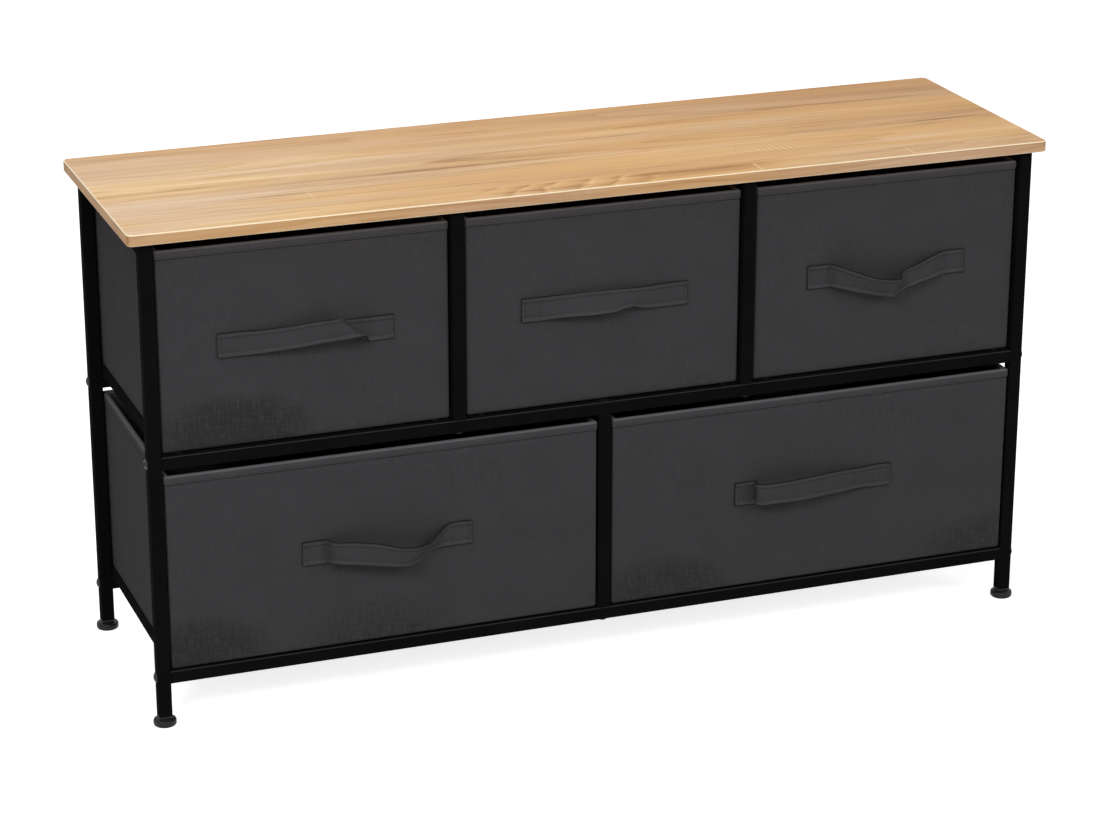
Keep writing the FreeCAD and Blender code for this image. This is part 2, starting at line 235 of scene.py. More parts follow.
# Tints of the wood's regions and faces, and where the regions begin and end
warm_tint = (1.03, 0.985, 0.86)
cool_tint = (0.98, 1.0, 1.12)
# Painted sheen: the top is paler towards its left end
left_sheen_tint = (1.09, 1.25, 1.66)
left_sheen_span = (-500 * mm, 100 * mm)
right_tint = (0.95, 0.92, 0.86)
right_span = (50 * mm, 500 * mm)
right_rows = (-110 * mm, 20 * mm)
back_tint = (0.89, 0.84, 0.82)
back_rows = (50 * mm, 110 * mm)
end_face_tint = (0.66, 0.6, 0.52)
long_face_tint = (0.86, 0.88, 1.08)

# Coats: dark and light colour, roughness, specular, grains a metre, grain depth, share of painted edge
# highlight
coats = {
    "frame_steel": ((0.0044, 0.0041, 0.0046), (0.0068, 0.0064, 0.0071), 0.9, 0.01, 1900, 0.03 * mm, 0.5),
    "runner_steel": ((0.004, 0.0038, 0.0041), (0.0062, 0.006, 0.0064), 0.92, 0.005, 1900, 0.03 * mm),
    "foot_plastic": ((0.007, 0.007, 0.007), (0.012, 0.012, 0.012), 0.42, 0.2, 1100, 0.04 * mm),
    "insert_plastic": ((0.01, 0.01, 0.01), (0.016, 0.016, 0.016), 0.5, 0.3, 1100, 0.04 * mm),
    "bolt_steel": ((0.008, 0.0078, 0.0085), (0.014, 0.0138, 0.0145), 0.36, 0.25, 1500, 0.015 * mm),
}
# Colour of the painted highlight on the upward rounded edges of the frame's coat
edge_highlight_colour = (0.06, 0.06, 0.062)

# Depth of the fine relief of the other finishes
fibre_depth = 0.05 * mm
weave_depth = 0.11 * mm
strand_depth = 0.05 * mm
spangle_depth = 0.02 * mm
felt_depth = 0.12 * mm

# Domed bolts with hexagon sockets
bolt_head_radius = 5.5 * mm
bolt_head_height = 3 * mm
bolt_head_rim = 0.8 * mm
bolt_radius = 3 * mm
bolt_length = 26 * mm
bolt_bevel = 0.2 * mm
bolt_sides = 24
bolt_crease = math.radians(40)
socket_radius = 2 * mm
socket_depth = 1.9 * mm
socket_mouth_share = 1.12
socket_corner_share = 1.3
dome_shares = (0.52, 0.68, 0.84, 0.95)

# Floor, surroundings and lamps: each lamp's place, target, width, depth and watts
floor_size = 30.0
floor_colour = (0.78, 0.78, 0.78)
floor_glow = 0.82
world_light = 0.21
lamps = {
    "top_box": ((-0.6, 0.1, 2.6), (0, 0, 0.5), 2.4, 1.6, 24),
    "key_box": ((-2.6, -3.0, 3.0), (0, 0, 0.3), 1.1, 1.1, 70),
    "front_box": ((-0.6, -4.6, 3.4), (0, 0, 0.3), 1.8, 1.8, 27),
    "fill_box": ((2.8, -3.2, 2.5), (0, 0, 0.3), 1.6, 1.6, 44),
}

# Camera at the photograph's angle, with its film and lens in mm
camera_place = (-1.1529, -3.0875, 1.4465)
camera_yaw = 0.3536
camera_pitch = 0.3516
camera_film = 36.0
camera_lens = 106.0


def sewn(place):
    """Edge points of a strap where it is sewn flat on the cloth."""
    return (place, 0, sewn_top / mm), (place, 0, sewn_bottom / mm), 0


# Each strap from its left sewn end to its right one: a top and a bottom edge point, as (along, out from
# the cloth, up from the strap's middle line) in mm, and how far its middle bellies out in mm
strap_forms = {
    "drawer_upper_left": [
        sewn(0),
        sewn(25),
        ((45, 2, 12.5), (45, 3.5, -12), 0),
        ((88, 8, 16), (80, 9, -8.8), 0.4),
        ((106, 12, 18.3), (114, 14.5, -4.5), 0.6),
        ((119, 14.5, 19), (148, 17, -3), 0.4),
        ((121.5, 12, 18.4), (151, 14, -5), 0),
        ((129, 4, 13.8), (154, 5.5, -10.8), -0.5),
        ((143, 0.4, 12.7), (157, 0.6, -13.3), 0),
        ((162, 0, 12.7), (164, 0, -13.3), 0),
        sewn(183),
    ],
    "drawer_upper_middle": [
        sewn(0),
        ((26, 0, 12.7), (26, 0.6, -13.3), 0),
        ((45, 2, 13), (41, 6.5, -11), -1.2),
        ((72, 4.5, 14), (68, 10.5, -10.5), -2),
        ((98, 6, 14), (97, 12, -9.5), -1.8),
        ((121, 5, 13), (118, 8.5, -6.8), 0.6),
        ((139, 2.5, 12.7), (133, 3, -11.5), 1.2),
        ((157, 0.3, 12.7), (153, 0.2, -13.3), 0),
        sewn(183),
    ],
    "drawer_upper_right": [
        sewn(0),
        sewn(26),
        ((30, 8, 12.7), (30, 6, -13), 0),
        ((46, 17, 7.5), (46, 10, -17), 0.5),
        ((72, 23, -1.5), (69, 13, -22.5), 0.8),
        ((95, 25.5, -4.2), (90, 17, -26.3), 0.3),
        ((97.5, 25, -4.4), (92, 17, -26.6), 0),
        ((98.5, 21.5, -3.8), (93.5, 15, -26.2), 0),
        ((102, 16, -1), (98, 13, -24.6), -0.4),
        ((126, 8.5, 5), (122, 11, -17.5), -0.8),
        ((142, 4, 9.5), (144, 7, -14), 0),
        ((157, 0.3, 12.7), (160, 0.4, -13.3), 0),
        sewn(183),
    ],
    "drawer_lower_left": [
        sewn(0),
        sewn(27),
        ((30, 7.5, 12.5), (30, 7.5, -12), 0),
        ((56, 15, 11), (60, 15, -15.3), 0.4),
        ((79, 20, 8), (88, 19.5, -19), 0.8),
        ((100, 22.5, 2), (106, 19, -21.5), 0.8),
        ((118, 20, -0.5), (117.5, 14, -20.5), 0.2),
        ((130, 16, 0.2), (127, 8, -17), -0.6),
        ((143, 8, 5.5), (138, 3, -13.2), -0.6),
        ((157, 0.3, 11.8), (154, 0.2, -13.3), 0),
        sewn(183),
    ],
    "drawer_lower_right": [
        sewn(0),
        sewn(24),
        ((23, 6, 12.5), (23, 6, -11.5), 0),
        ((20.5, 12, 13.5), (20.3, 12, -10.8), 0),
        ((25, 16, 14), (24.5, 16, -10.2), 0),
        ((40, 17.8, 14.5), (40, 17.5, -9.8), 0.4),
        ((64, 17, 14.5), (63, 17, -10.5), 0.6),
        ((87, 14, 15), (87, 14.5, -10.5), 0.4),
        ((115, 9, 14.5), (115, 9.5, -10.5), 0),
        ((150, 2, 12.5), (150, 2, -11.8), 0),
        sewn(166),
        sewn(183),
    ],
}


class Paint:
    """One node material under construction, with its Principled surface."""

    def __init__(self, name, roughness, specular):
        self.material = bpy.data.materials.new(name)
        self.material.use_nodes = True
        self.tree = self.material.node_tree
        self.surface = self.tree.nodes["Principled BSDF"]
        self.set("Roughness", roughness)
        self.set("Specular IOR Level", specular)

    def set(self, name, value):
        self.feed(self.surface.inputs[name], value)

    def feed(self, socket, value):
        """Links a socket to another one, or sets its number, vector or opaque colour."""
        if isinstance(value, bpy.types.NodeSocket):
            self.tree.links.new(value, socket)
        elif socket.type == "RGBA":
            socket.default_value = (*value, 1)
        else:
            socket.default_value = value

    def add(self, kind, inputs, **settings):
        node = self.tree.nodes.new(kind)
        for key, value in settings.items():
            setattr(node, key, value)
        for key, value in inputs.items():
            self.feed(node.inputs[key], value)
        return node

    def math(self, operation, first, second=0.0, third=0.0):
        node = self.add("ShaderNodeMath", {0: first, 1: second, 2: third}, operation=operation)
        return node.outputs[0]

    def total(self, start, parts):
        """A start value plus each part times its weight."""
        value = start
        for part, weight in parts:
            value = self.math("MULTIPLY_ADD", part, weight, value)
        return value

    def times(self, *values):
        """The product of some values."""
        product = values[0]
        for value in values[1:]:
            product = self.math("MULTIPLY", product, value)
        return product

    def away(self, value, place):
        """How far a value lies from a place."""
        return self.math("ABSOLUTE", self.math("SUBTRACT", value, place))

    def place(self, output="Object"):
        """Where a point lies on the piece, in metres."""
        return self.add("ShaderNodeTexCoord", {}).outputs[output]

    def normal(self):
        """The three parts of the surface's outward direction."""
        return self.split(self.place("Normal"))

    def cloth_place(self):
        """Where a point lies on the flat cloth, in metres along and across."""
        return self.add("ShaderNodeUVMap", {}, uv_map="cloth").outputs[0]

    def vector(self, operation, first, second):
        return self.add("ShaderNodeVectorMath", {0: first, 1: second}, operation=operation).outputs[0]

    def split(self, place):
        return self.add("ShaderNodeSeparateXYZ", {0: place}).outputs

    def join(self, x, y, z):
        return self.add("ShaderNodeCombineXYZ", {0: x, 1: y, 2: z}).outputs[0]

    def noise(self, place, factors, detail=2.0, roughness=0.5, distortion=0.0):
        """Soft noise from 0 to 1 with that many waves a metre along each axis."""
        inputs = {
            "Vector": self.vector("MULTIPLY", place, factors),
            "Scale": 1.0,
            "Detail": detail,
            "Roughness": roughness,
            "Distortion": distortion,
        }
        return self.add("ShaderNodeTexNoise", inputs).outputs["Fac"]

    def ease(self, value, low, high, start=0.0, end=1.0):
        """Runs smoothly from start to end as the value goes from low to high."""
        inputs = {"Value": value, 1: low, 2: high, 3: start, 4: end}
        return self.add("ShaderNodeMapRange", inputs, interpolation_type="SMOOTHSTEP").outputs[0]

    def blend(self, share, first, second, how="MIX"):
        inputs = {0: share, 6: first, 7: second}
        return self.add("ShaderNodeMix", inputs, data_type="RGBA", blend_type=how).outputs[2]

    def tint(self, share, colour, factors):
        """Multiplies a colour by factors as far as the share goes."""
        return self.blend(share, colour, self.blend(1.0, colour, factors, "MULTIPLY"))

    def colours(self, value, stops):
        """A colour ramp through the given shares and colours."""
        node = self.add("ShaderNodeValToRGB", {0: value})
        ramp = node.color_ramp
        while len(ramp.elements) < len(stops):
            ramp.elements.new(0.5)
        for element, (share, colour) in zip(ramp.elements, stops):
            element.position = share
            element.color = (*colour, 1)
        return node.outputs[0]

    def bump(self, height, depth):
        node = self.add("ShaderNodeBump", {"Height": height, "Strength": 1.0, "Distance": depth})
        self.set("Normal", node.outputs[0])


def wood_paint():
    """Light oak effect: staves with streaks, nested arches, a rippled patch and a few end joints."""
    paint = Paint("wood_top", 0.45, 0.16)
    normal = paint.normal()
    place = paint.place()
    x, y, _ = paint.split(place)
    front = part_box("top_board")[0].y
    end_face = paint.math("GREATER_THAN", paint.math("ABSOLUTE", normal[0]), 0.7)
    flat = paint.ease(normal[2], 0.7, 0.9)
    grain = wood_grain(paint, place, end_face)
    fibres = paint.noise(grain, (12.0, 340.0, 340.0), 5.0, 0.66)
    pores = paint.ease(paint.noise(grain, (50.0, 1500.0, 1500.0), 1.0), 0.64, 0.78)
    value = paint.total(wood_lines(paint, grain), [
        (wood_staves(paint, y, front), 0.12),
        (fibres, 0.56),
        (pores, -0.1),
        (paint.times(wood_arches(paint, x, y, front), flat), -0.44),
        (wood_ripple(paint, x, y), 0.24),
        (wood_streaks(paint, x, y), -0.26),
    ])
    colour = paint.colours(value, wood_colours)
    colour = wood_regions(paint, colour, grain, x, y, flat)
    colour = paint.blend(wood_joints(paint, x, y, front), colour, joint_colour)
    colour = paint.tint(end_face, colour, end_face_tint)
    colour = wood_edges(paint, colour, normal)
    paint.set("Base Color", colour)
    paint.set("Roughness", paint.ease(fibres, 0.2, 0.8, 0.4, 0.52))
    paint.bump(paint.math("SUBTRACT", paint.times(fibres, 0.4), pores), fibre_depth)
    return paint.material


def wood_grain(paint, place, end_face):
    """Where a point lies along and across the wandering grain, turned round for the end faces."""
    x, y, z = paint.split(place)
    ways = {0: end_face, 4: place, 5: paint.join(y, x, z)}
    straight = paint.add("ShaderNodeMix", ways, data_type="VECTOR").outputs[1]
    drift = paint.times(paint.noise(straight, (1.8, 9.0, 9.0), 2.0), grain_wander)
    return paint.vector("ADD", straight, paint.join(0.0, drift, drift))


def wood_lines(paint, grain):
    """Brightness of the bands, streaks and growth lines along the grain."""
    bands = paint.noise(grain, (2.2, 22.0, 22.0), 2.0, 0.5, 0.15)
    pale_streaks = paint.noise(paint.vector("ADD", grain, (3.1, 0.4, 0)), (4.0, 58.0, 58.0), 4.0)
    dark_streaks = paint.noise(grain, (4.2, 76.0, 76.0), 5.0, 0.6, 0.25)
    lines = paint.noise(paint.vector("ADD", grain, (0, 1.7, 0)), (5.0, 170.0, 170.0), 3.0)
    growth = paint.noise(grain, (0.85, 15.0, 15.0), 1.5)
    rings = paint.math("FRACT", paint.times(growth, growth_lines))
    return paint.total(-0.05, [
        (bands, 0.5),
        (paint.ease(pale_streaks, 0.5, 0.72), 0.18),
        (paint.ease(dark_streaks, 0.55, 0.7), -0.22),
        (paint.ease(lines, 0.6, 0.7), -0.2),
        (paint.math("POWER", rings, 2.5), -0.2),
    ])


def wood_staves(paint, y, front):
    """A brightness of its own for each stave, from 0 to 1."""
    stave = paint.math("FLOOR", paint.math("DIVIDE", paint.math("SUBTRACT", y, front), stave_width))
    return paint.add("ShaderNodeTexWhiteNoise", {"W": stave}, noise_dimensions="1D").outputs["Value"]


def wood_regions(paint, colour, grain, x, y, flat):
    """Warm and cool bands, a painted sheen that makes the left end paler, and deeper parts at the right
    and the back.
    """
    blush = paint.ease(paint.noise(grain, (1.8, 15.0, 15.0), 2.0), 0.4, 0.62)
    colour = paint.blend(1.0, colour, paint.blend(blush, warm_tint, cool_tint), "MULTIPLY")
    # Painted sheen, paler towards the left end of the top
    left = paint.times(paint.ease(x, *left_sheen_span, 1.0, 0.0), flat)
    colour = paint.tint(left, colour, left_sheen_tint)
    right = paint.times(paint.ease(x, *right_span), paint.ease(y, *right_rows, -1.0, 1.1))
    colour = paint.tint(right, colour, right_tint)
    return paint.tint(paint.ease(y, *back_rows), colour, back_tint)


def wood_edges(paint, colour, normal):
    """The board's long faces, and painted highlights along its upper and lower rounded edges."""
    long_face = paint.math("GREATER_THAN", paint.math("ABSOLUTE", normal[1]), 0.7)
    colour = paint.tint(long_face, colour, long_face_tint)
    # Painted highlight on the upper rounded edge
    upper = paint.times(paint.ease(normal[2], 0.12, 0.4), paint.ease(normal[2], 0.985, 0.88))
    colour = paint.blend(upper, colour, upper_edge_highlight_colour)
    # Painted highlight, fainter, on the lower rounded edge
    falling = paint.ease(normal[2], -0.12, -0.4, 0.0, 0.7)
    lower = paint.times(falling, paint.ease(normal[2], -0.98, -0.85))
    return paint.blend(lower, colour, lower_edge_highlight_colour)


def wood_arches(paint, x, y, front):
    """Half arches of growth rings along the front edge, and the brown heart beside them."""
    aside = paint.math("SUBTRACT", y, front)
    lean = paint.times(aside, paint.math("MULTIPLY_ADD", aside, arch_sweep, arch_lean))
    wobble = paint.times(paint.noise(paint.place(), (13.0, 34.0, 1.0), 3.0), 1.6 * arch_pitch)
    run = paint.math("ADD", paint.math("SUBTRACT", x, lean), wobble)
    ring = paint.math("FRACT", paint.math("DIVIDE", run, arch_pitch))
    early = paint.ease(ring, 0.0, 0.22, -0.35, 0.0)
    late = paint.times(paint.math("POWER", ring, 1.7), paint.ease(ring, 0.82, 1.0, 1.0, 0.1))
    middle = paint.away(x, arch_middle)
    along = paint.ease(middle, 0.25 * arch_length, 0.55 * arch_length, 1.0, 0.0)
    shade = paint.times(paint.math("ADD", late, early), along)
    beside = paint.away(x, heart_middle)
    heart = paint.ease(beside, 0.2 * heart_length, 0.55 * heart_length, 0.75, 0.0)
    heart = paint.times(heart, paint.ease(aside, 0.1 * arch_width, 0.45 * arch_width))
    across = paint.ease(aside, 0.85 * arch_width, arch_width, 1.0, 0.0)
    return paint.times(paint.math("ADD", shade, heart), across)


def wood_ripple(paint, x, y):
    """A patch where the fibres wave, their sheen painted as short slanted pale and dark bars."""
    aside = paint.away(y, ripple_place[1])
    middle = paint.away(x, ripple_place[0])
    slant = paint.math("MULTIPLY_ADD", y, ripple_slant, x)
    wobble = paint.times(paint.noise(paint.place(), (45.0, 40.0, 1.0), 2.0), 1.2 * ripple_pitch)
    phase = paint.times(paint.math("ADD", slant, wobble), math.tau / ripple_pitch)
    patchy = paint.ease(paint.noise(paint.place(), (60.0, 90.0, 1.0), 1.0), 0.35, 0.65, 0.5, 1.0)
    across = paint.ease(aside, 0.1 * ripple_width, 0.5 * ripple_width, 1.0, 0.0)
    along = paint.ease(middle, 0.2 * ripple_length, 0.5 * ripple_length, 1.0, 0.0)
    return paint.times(paint.math("SINE", phase), patchy, across, along)


def wood_streaks(paint, x, y):
    """A few long streaks that waver and thin out at their ends, dark ones and a pale one."""
    wobble = paint.times(paint.noise(paint.place(), (9.0, 30.0, 1.0), 3.0), streak_wander)
    wavy = paint.math("ADD", y, wobble)
    total = 0.0
    for streak_x, streak_y, length, width, depth in streaks:
        aside = paint.away(wavy, streak_y + 0.5 * streak_wander)
        across = paint.ease(aside, 0.0, 0.5 * width, depth, 0.0)
        middle = paint.away(x, streak_x)
        along = paint.ease(middle, 0.2 * length, 0.5 * length, 1.0, 0.0)
        total = paint.math("MULTIPLY_ADD", across, along, total)
    return total


def wood_joints(paint, x, y, front):
    """Short pale lines where staves meet end to end."""
    total = 0.0
    for joint_x, number, strength in joint_places:
        along = paint.away(x, joint_x)
        across = paint.away(y, front + (number + 0.5) * stave_width)
        line = paint.ease(along, 0.2 * joint_width, 0.8 * joint_width, strength, 0.0)
        reach = paint.ease(across, 0.36 * stave_width, 0.5 * stave_width, 1.0, 0.0)
        total = paint.math("MULTIPLY_ADD", line, reach, total)
    return total


def coat_paint(name, dark, light, roughness, specular, grains, depth, edge_highlight_share=0.0):
    """Powder coat, moulded plastic or blackened steel: fine grain, and upward rounded edges painted
    paler as a highlight.
    """
    paint = Paint(name, roughness, specular)
    place = paint.place()
    fine = paint.noise(place, (grains,) * 3, 2.0)
    cloud = paint.noise(place, (14.0,) * 3, 2.0)
    share = paint.times(paint.math("ADD", fine, cloud), 0.5)
    colour = paint.blend(paint.ease(share, 0.3, 0.7), dark, light)
    if edge_highlight_share:
        normal = paint.normal()
        sides = [paint.math("ABSOLUTE", part) for part in normal]
        flattest = paint.math("MAXIMUM", paint.math("MAXIMUM", sides[0], sides[1]), sides[2])
        # Painted highlight: rounded edges that face up are painted paler, as light from above would make
        # them
        upper = paint.ease(normal[2], 0.1, 0.5, 0.0, edge_highlight_share)
        edge_highlight = paint.times(paint.ease(flattest, 0.97, 0.8), upper)
        colour = paint.blend(edge_highlight, colour, edge_highlight_colour)
    paint.set("Base Color", colour)
    paint.set("Roughness", paint.ease(cloud, 0.25, 0.75, roughness - 0.06, roughness + 0.07))
    paint.bump(fine, depth)
    return paint.material


def zinc_paint():
    """Zinc plate: pale grey with a faint spangle."""
    paint = Paint("zinc_steel", 0.38, 0.5)
    paint.set("Metallic", 1.0)
    spangle = paint.noise(paint.place(), (260.0,) * 3, 2.0)
    paint.set("Base Color", paint.blend(spangle, (0.42, 0.43, 0.45), (0.66, 0.67, 0.68)))
    paint.set("Roughness", paint.ease(spangle, 0.3, 0.7, 0.3, 0.46))
    paint.bump(spangle, spangle_depth)
    return paint.material


def board_paint():
    """Raw fibreboard: brown felted fibres with darker flecks."""
    paint = Paint("fibre_board", 0.85, 0.2)
    place = paint.place()
    felt = paint.noise(place, (420.0,) * 3, 4.0, 0.65, 0.6)
    flecks = paint.ease(paint.noise(place, (900.0, 340.0, 900.0), 2.0), 0.62, 0.76)
    tan = paint.blend(paint.ease(felt, 0.3, 0.7), (0.235, 0.165, 0.105), (0.37, 0.275, 0.185))
    colour = paint.blend(paint.times(flecks, 0.5), tan, (0.13, 0.085, 0.05))
    paint.set("Base Color", colour)
    paint.bump(felt, felt_depth)
    return paint.material


def cloth_paint(name, shade=None):
    """Charcoal non-woven cloth: a linen hatch of long uneven threads over a fine weave."""
    dark, light, hatch_share = cloths[name]
    paint = Paint(name, 0.95, 0.03)
    place = paint.cloth_place()
    along, up, _ = paint.split(place)
    turns = math.tau / thread_pitch
    drift = paint.times(paint.noise(place, (160.0, 160.0, 1.0), 1.0), 2.4)
    warp = paint.math("SINE", paint.math("ADD", paint.times(along, turns), drift))
    weft = paint.math("SINE", paint.math("ADD", paint.times(up, turns), drift))
    weave = paint.math("MULTIPLY_ADD", paint.times(warp, weft), 0.5, 0.5)
    uprights = paint.ease(paint.noise(place, (540.0, 52.0, 1.0), 2.0, 0.6), 0.34, 0.68)
    levels = paint.ease(paint.noise(place, (60.0, 540.0, 1.0), 2.0, 0.6), 0.34, 0.68)
    hatch = paint.total(0.0, [(uprights, 0.55), (levels, 0.45)])
    patch = paint.ease(paint.noise(place, (7.0, 8.0, 1.0), 2.0), 0.44, 0.66, 0.22, 0.6)
    spots = hatch_spots(paint)
    swing = paint.times(paint.math("SUBTRACT", hatch, 0.5), paint.math("ADD", patch, spots))
    mottle = paint.noise(place, (26.0, 26.0, 1.0), 3.0)
    share = paint.total(0.24, [(swing, hatch_share), (mottle, 0.28), (weave, 0.22), (spots, -0.3)])
    colour = paint.blend(share, dark, light)
    # Painted light and shade of straps and hems, multiplied into the cloth's colour
    if shade:
        colour = paint.blend(1.0, colour, shade(paint), "MULTIPLY")
    paint.set("Base Color", colour)
    paint.bump(paint.total(0.0, [(weave, 0.6), (hatch, 0.8)]), weave_depth)
    return paint.material


def hatch_spots(paint):
    """Strength of the spots where the hatch shows most, 0 outside them."""
    x, _, z = paint.split(paint.place())
    total = 0.0
    for spot_x, spot_z, strength in hatch_places:
        aside = paint.math("DIVIDE", paint.math("SUBTRACT", x, spot_x), hatch_reach[0])
        above = paint.math("DIVIDE", paint.math("SUBTRACT", z, spot_z), hatch_reach[1])
        far = paint.math("ADD", paint.times(aside, aside), paint.times(above, above))
        total = paint.math("ADD", total, paint.ease(far, 0.0, 1.0, strength, 0.0))
    facing = paint.ease(paint.normal()[1], -0.5, -0.9)
    return paint.times(total, facing)


def strap_painted_light(paint):
    """Painted light across a strap: rims and ends painted dark as shadow, folded double edges painted
    paler as highlight.
    """
    across = paint.split(paint.cloth_place())[0]
    height = paint.math("MULTIPLY_ADD", across, 1 / strap_width, 0.5)
    return paint.colours(height, [(share, (tone,) * 3) for share, tone in strap_painted_tones])


def hem_painted_highlight(paint):
    """Painted highlight on a hem: its top fold, facing up, is painted pale."""
    tone = paint.ease(paint.normal()[2], 0.15, 0.6, 1.0, 2.1)
    return paint.join(tone, tone, tone)


def thread_paint():
    """Twisted polyester thread of the cloth's own colour."""
    paint = Paint("sewing_thread", 0.8, 0.1)
    strand = paint.noise(paint.place(), (2600.0,) * 3, 1.0)
    paint.set("Base Color", paint.blend(strand, (0.024, 0.024, 0.025), (0.05, 0.05, 0.052)))
    paint.bump(strand, strand_depth)
    return paint.material


class Surface:
    """Points, faces and flat cloth coordinates of one piece under construction."""

    def __init__(self):
        self.points = []
        self.faces = []
        self.corners = []

    def face(self, order, corners):
        self.faces.append(order)
        self.corners.extend(corners)

    def rows(self, rows, across, along, closed=False, looped=False):
        """Joins rows of points with quads. Closed rows meet end to end, and looped ones come round."""
        first = len(self.points)
        width = len(rows[0])
        for row in rows:
            self.points.extend(row)
        row_pairs = len(rows) if looped else len(rows) - 1
        column_pairs = width if closed else width - 1
        for i in range(row_pairs):
            low = first + i * width
            high = first + (i + 1) % len(rows) * width
            for j in range(column_pairs):
                k = (j + 1) % width
                corners = [
                    (across[j], along[i]),
                    (across[j + 1], along[i]),
                    (across[j + 1], along[i + 1]),
                    (across[j], along[i + 1]),
                ]
                self.face((low + j, low + k, high + k, high + j), corners)
        return first

    def lid(self, order):
        """Closes a flat ring of points with one face."""
        order = tuple(order)
        self.face(order, [(self.points[i].x, self.points[i].y) for i in order])

    def tube(self, rings, across=None, along=None):
        """Joins closed rings of points, with a lid on the first and the last one."""
        sides = len(rings[0])
        across = across or [k * mm for k in range(sides + 1)]
        along = along or [k * mm for k in range(len(rings))]
        first = self.rows(rings, across, along, closed=True)
        last = first + (len(rings) - 1) * sides
        self.lid(reversed(range(first, first + sides)))
        self.lid(range(last, last + sides))

    def piece(self, name, material, body, replaced=(), crease=None):
        mesh = bpy.data.meshes.new(name)
        mesh.from_pydata(self.points, [], self.faces)
        layer = mesh.uv_layers.new(name="cloth")
        for item, corner in zip(layer.data, self.corners):
            item.uv = corner
        mesh.materials.append(material)
        obj = bpy.data.objects.new(name, mesh)
        bpy.context.scene.collection.objects.link(obj)
        shell = bmesh.new()
        shell.from_mesh(mesh)
        bmesh.ops.recalc_face_normals(shell, faces=shell.faces)
        shell.to_mesh(mesh)
        shell.free()
        mesh.shade_smooth()
        if crease:
            mesh.set_sharp_from_angle(angle=crease)
        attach(obj, body)
        if replaced:
            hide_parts(*replaced)


def lengths_along(points):
    """How far along a line each of its points lies."""
    total = [0.0]
    for a, b in zip(points, points[1:]):
        total.append(total[-1] + (b - a).length)
    return total


class Bin:
    """The walls of one fabric drawer and its soft cloth. Sides are numbered front, right, back, left."""

    def __init__(self, body, seed):
        self.body = body
        self.low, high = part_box(body + "_bin")
        self.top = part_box(body + "_hem")[1].z + (hem_rise if "_upper_" in body else 0.0)
        self.height = self.top - self.low.z
        self.seed = seed
        near = self.low + Vector((corner_radius, corner_radius, 0))
        far = high - Vector((corner_radius, corner_radius, 0))
        places = [(near.x, near.y), (far.x, near.y), (far.x, far.y), (near.x, far.y)]
        self.corners = [Vector((x, y, 0)) for x, y in places]
        self.normals = [Vector((x, y, 0)) for x, y in ((0, -1), (1, 0), (0, 1), (-1, 0))]
        self.spots = self.ring_spots()
        ring = [middle + normal * corner_radius for middle, normal, _, _ in self.spots]
        self.girth = lengths_along(ring + ring[:1])

    def side_places(self, length):
        """Places along a side: close together by the corners, then even."""
        ends = [0.0, corner_step, 2 * corner_step]
        count = round((length - 2 * ends[-1]) / grid_step)
        step = (length - 2 * ends[-1]) / count
        middle = [ends[-1] + step * i for i in range(1, count)]
        return ends + middle + [length - place for place in reversed(ends)]

    def ring_spots(self):
        """Spots round the bin: centre line point, outward normal, side and place along it."""
        spots = []
        for side in range(4):
            after = (side + 1) % 4
            start, end = self.corners[side], self.corners[after]
            normal, next_normal = self.normals[side], self.normals[after]
            heading = (end - start).normalized()
            for place in self.side_places((end - start).length):
                spots.append((start + heading * place, normal, side, place))
            for i in range(1, corner_steps):
                turn = math.pi / 2 * i / corner_steps
                between = normal * math.cos(turn) + next_normal * math.sin(turn)
                spots.append((end, between, None, 0.0))
        return spots

    def crown(self, side, place, z):
        """How near a side's middle a spot lies, along and up: 0 at the edges, 1 in the middle."""
        length = (self.corners[(side + 1) % 4] - self.corners[side]).length
        lengthwise = math.sin(math.pi * min(max(place / length, 0), 1))
        upright = math.sin(math.pi * min(max((z - self.low.z) / self.height, 0), 1))
        return lengthwise, upright

    def relief(self, side, place, z):
        """How far the cloth of a side stands out at a spot: swell, dents and hem puckers."""
        if side is None:
            return 0.0
        lengthwise, upright = self.crown(side, place, z)
        swell = front_swell if side % 2 == 0 else side_swell
        spot = Vector((place, z, self.seed + side_seed * side)) / dent_pitch
        dents = dent_depth * (noise.noise(spot) + 0.5 * noise.noise(spot * 2.3)) * lengthwise ** 0.3
        wave = math.sin(math.tau * place / pucker_pitch + 3 * noise.noise(spot * 3))
        below = max(self.top - hem_height - z, 0)
        pucker = pucker_depth * wave * math.exp(-below / pucker_reach) * lengthwise ** 0.5
        return (swell * lengthwise ** 0.7 + dents) * upright + pucker

    def point(self, spot, inset, z, outside=True):
        """A point of the wall's outer or inner face, that far in from its plain surface."""
        middle, normal, side, place = spot
        reach = corner_radius - inset
        if outside:
            reach += self.relief(side, place, z)
            reach += back_fullness * max(normal.y, 0)
        elif side is not None:
            lengthwise, upright = self.crown(side, place, z)
            reach -= inside_swell * lengthwise * upright
        flat = middle + normal * reach
        return Vector((flat.x, flat.y, z))

    def ring(self, inset, z, outside=True):
        return [self.point(spot, inset, z, outside) for spot in self.spots]


def rises(low, high):
    """Heights from low to high, at about one grid step."""
    count = max(round((high - low) / grid_step), 1)
    return [low + (high - low) * i / count for i in range(count + 1)]


